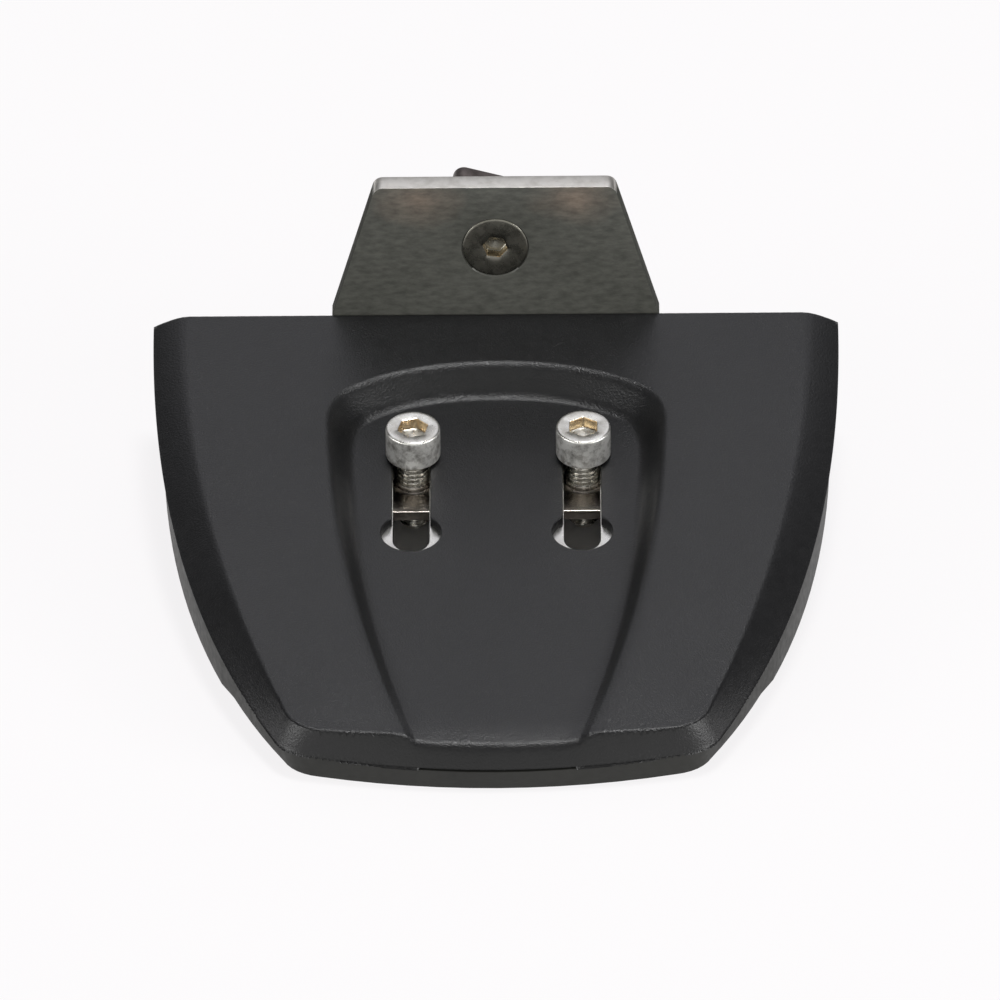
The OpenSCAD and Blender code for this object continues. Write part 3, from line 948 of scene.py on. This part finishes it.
def floor_material():
    """A white sweep, mostly even to the camera and to mirrors, with the object's shadow kept."""
    mat = bpy.data.materials.new("studio_floor")
    mat.use_nodes = True
    tree = mat.node_tree
    bsdf = tree.nodes["Principled BSDF"]
    bsdf.inputs["Base Color"].default_value = (0.93, 0.925, 0.925, 1)
    bsdf.inputs["Roughness"].default_value = 1.0
    bsdf.inputs["Specular IOR Level"].default_value = 0.0
    white = tree.nodes.new("ShaderNodeEmission")
    white.inputs["Color"].default_value = (0.985, 0.97, 0.98, 1)
    path = tree.nodes.new("ShaderNodeLightPath")
    seen = path.outputs["Is Camera Ray"]
    for name in ("Is Glossy Ray", "Is Transmission Ray"):
        either = tree.nodes.new("ShaderNodeMath")
        either.operation = "MAXIMUM"
        tree.links.new(seen, either.inputs[0])
        tree.links.new(path.outputs[name], either.inputs[1])
        seen = either.outputs["Value"]
    share = tree.nodes.new("ShaderNodeMath")
    share.operation = "MULTIPLY"
    share.inputs[1].default_value = EVEN_WHITE
    tree.links.new(seen, share.inputs[0])
    # Under the part, where only its slots show the floor, the light is what really falls there
    coord = tree.nodes.new("ShaderNodeTexCoord")
    away = tree.nodes.new("ShaderNodeVectorMath")
    away.operation = "DISTANCE"
    away.inputs[1].default_value = UNDER_PART
    tree.links.new(coord.outputs["Object"], away.inputs[0])
    outside = tree.nodes.new("ShaderNodeMapRange")
    outside.inputs["From Min"].default_value = FADE_FROM
    outside.inputs["From Max"].default_value = FADE_TO
    tree.links.new(away.outputs["Value"], outside.inputs["Value"])
    masked = tree.nodes.new("ShaderNodeMath")
    masked.operation = "MULTIPLY"
    tree.links.new(share.outputs["Value"], masked.inputs[0])
    tree.links.new(outside.outputs["Result"], masked.inputs[1])
    mix = tree.nodes.new("ShaderNodeMixShader")
    tree.links.new(masked.outputs["Value"], mix.inputs["Fac"])
    tree.links.new(bsdf.outputs["BSDF"], mix.inputs[1])
    tree.links.new(white.outputs["Emission"], mix.inputs[2])
    tree.links.new(mix.outputs["Shader"], tree.nodes["Material Output"].inputs["Surface"])
    return mat


FLOOR_HALF = 12.0
# Just under the pad, so that the two surfaces don't share a plane
FLOOR_Z = -0.00005
studio_floor = new_object(
    "studio_floor",
    [(x * FLOOR_HALF, y * FLOOR_HALF, 0) for x, y in ((-1, -1), (1, -1), (1, 1), (-1, 1))],
    [(0, 1, 2, 3)],
    floor_material(),
    smooth=False,
)
studio_floor.location.z = FLOOR_Z


LAMP_AIM = Vector((0, 0.04, 0.02))


def area_lamp(name, position, size, watts):
    """A white rectangular lamp that looks at the middle of the part."""
    data = bpy.data.lights.new(name, "AREA")
    data.shape = "RECTANGLE"
    data.size, data.size_y = size
    data.energy = watts
    obj = bpy.data.objects.new(name, data)
    bpy.context.scene.collection.objects.link(obj)
    obj.location = position
    aim = LAMP_AIM - Vector(position)
    obj.rotation_euler = aim.to_track_quat("-Z", "Y").to_euler()


area_lamp("lamp_over", (0.1, 0.1, 1.3), (0.36, 0.26), 9.0)
area_lamp("lamp_right", (1.45, -0.65, 0.5), (0.9, 0.5), 13.0)
area_lamp("lamp_left", (-1.45, -0.65, 0.46), (0.9, 0.5), 10.0)


# The face mirrors this direction to the camera
GLOW_FROM = (0, 0.7, 0.714)


def studio_world():
    """Plain light from behind at the height that the cover's face reflects, and dim elsewhere."""
    world = bpy.data.worlds.new("studio")
    bpy.context.scene.world = world
    world.use_nodes = True
    tree = world.node_tree

    def add(kind, **values):
        node = tree.nodes.new(kind)
        for key, value in values.items():
            setattr(node, key, value)
        return node

    coord = add("ShaderNodeTexCoord")
    toward = add("ShaderNodeVectorMath", operation="DOT_PRODUCT")
    tree.links.new(coord.outputs["Generated"], toward.inputs[0])
    toward.inputs[1].default_value = GLOW_FROM
    how_near = add("ShaderNodeMath", operation="MULTIPLY_ADD")
    how_near.inputs[1].default_value = 0.5
    how_near.inputs[2].default_value = 0.5
    tree.links.new(toward.outputs["Value"], how_near.inputs[0])
    glow = add("ShaderNodeValToRGB")
    stops = [
        (0.0, (0.7, 0.7, 0.67)),
        (0.36, (0.95, 0.95, 0.92)),
        (0.47, (0.55, 0.55, 0.53)),
        (0.57, (0.11, 0.11, 0.106)),
        (0.88, (0.07, 0.07, 0.07)),
        (0.93, (0.2, 0.2, 0.205)),
        (0.97, (0.72, 0.72, 0.76)),
        (1.0, (0.88, 0.88, 0.93)),
    ]
    while len(glow.color_ramp.elements) < len(stops):
        glow.color_ramp.elements.new(0.5)
    for e, (pos, colour) in zip(glow.color_ramp.elements, stops):
        e.position = pos
        e.color = (*colour, 1)
    tree.links.new(how_near.outputs["Value"], glow.inputs["Fac"])
    background = tree.nodes["Background"]
    tree.links.new(glow.outputs["Color"], background.inputs["Color"])
    background.inputs["Strength"].default_value = 1.0


studio_world()

# The camera stands at the photograph's viewing angle, far off with a long lens
ELEVATION = math.radians(38)
YAW = math.radians(0.195)
ROLL = math.radians(0.525)
FOCAL_PX = 13550.0
DISTANCE = 2500.0
AIM_PX = (496.4, 455.0)


def camera_pose():
    """The camera's place and axes in the leg frame. The recess floor's origin is at AIM_PX."""
    e, a = ELEVATION, YAW
    spin = np.array([[math.cos(a), -math.sin(a), 0], [math.sin(a), math.cos(a), 0], [0, 0, 1]])
    forward = spin @ np.array([0, math.cos(e), -math.sin(e)])
    up = spin @ np.array([0, math.sin(e), math.cos(e)])
    right = spin @ np.array([1.0, 0, 0])
    dx, dy = AIM_PX[0] - 500, AIM_PX[1] - 500
    c, s = math.cos(ROLL), math.sin(ROLL)
    u, v = dx * c - dy * s, dx * s + dy * c
    ray = forward + right * u / FOCAL_PX - up * v / FOCAL_PX
    return -ray * DISTANCE, right * c - up * s, right * s + up * c, -forward


place_mm, cam_x, cam_y, cam_z = camera_pose()
axes = [turn(v) for v in (cam_x, cam_y, cam_z)]
location = Vector(tip(place_mm))
camera_data = bpy.data.cameras.new("camera")
camera_data.sensor_width = 36.0
camera_data.lens = FOCAL_PX / 1000 * 36
camera_data.clip_start = 0.1
camera_data.clip_end = 60
camera = bpy.data.objects.new("camera", camera_data)
bpy.context.scene.collection.objects.link(camera)
camera.matrix_world = Matrix(
    [[axes[0][i], axes[1][i], axes[2][i], location[i]] for i in range(3)] + [[0, 0, 0, 1]]
)
bpy.context.scene.camera = camera
bpy.context.scene.view_settings.view_transform = "Standard"
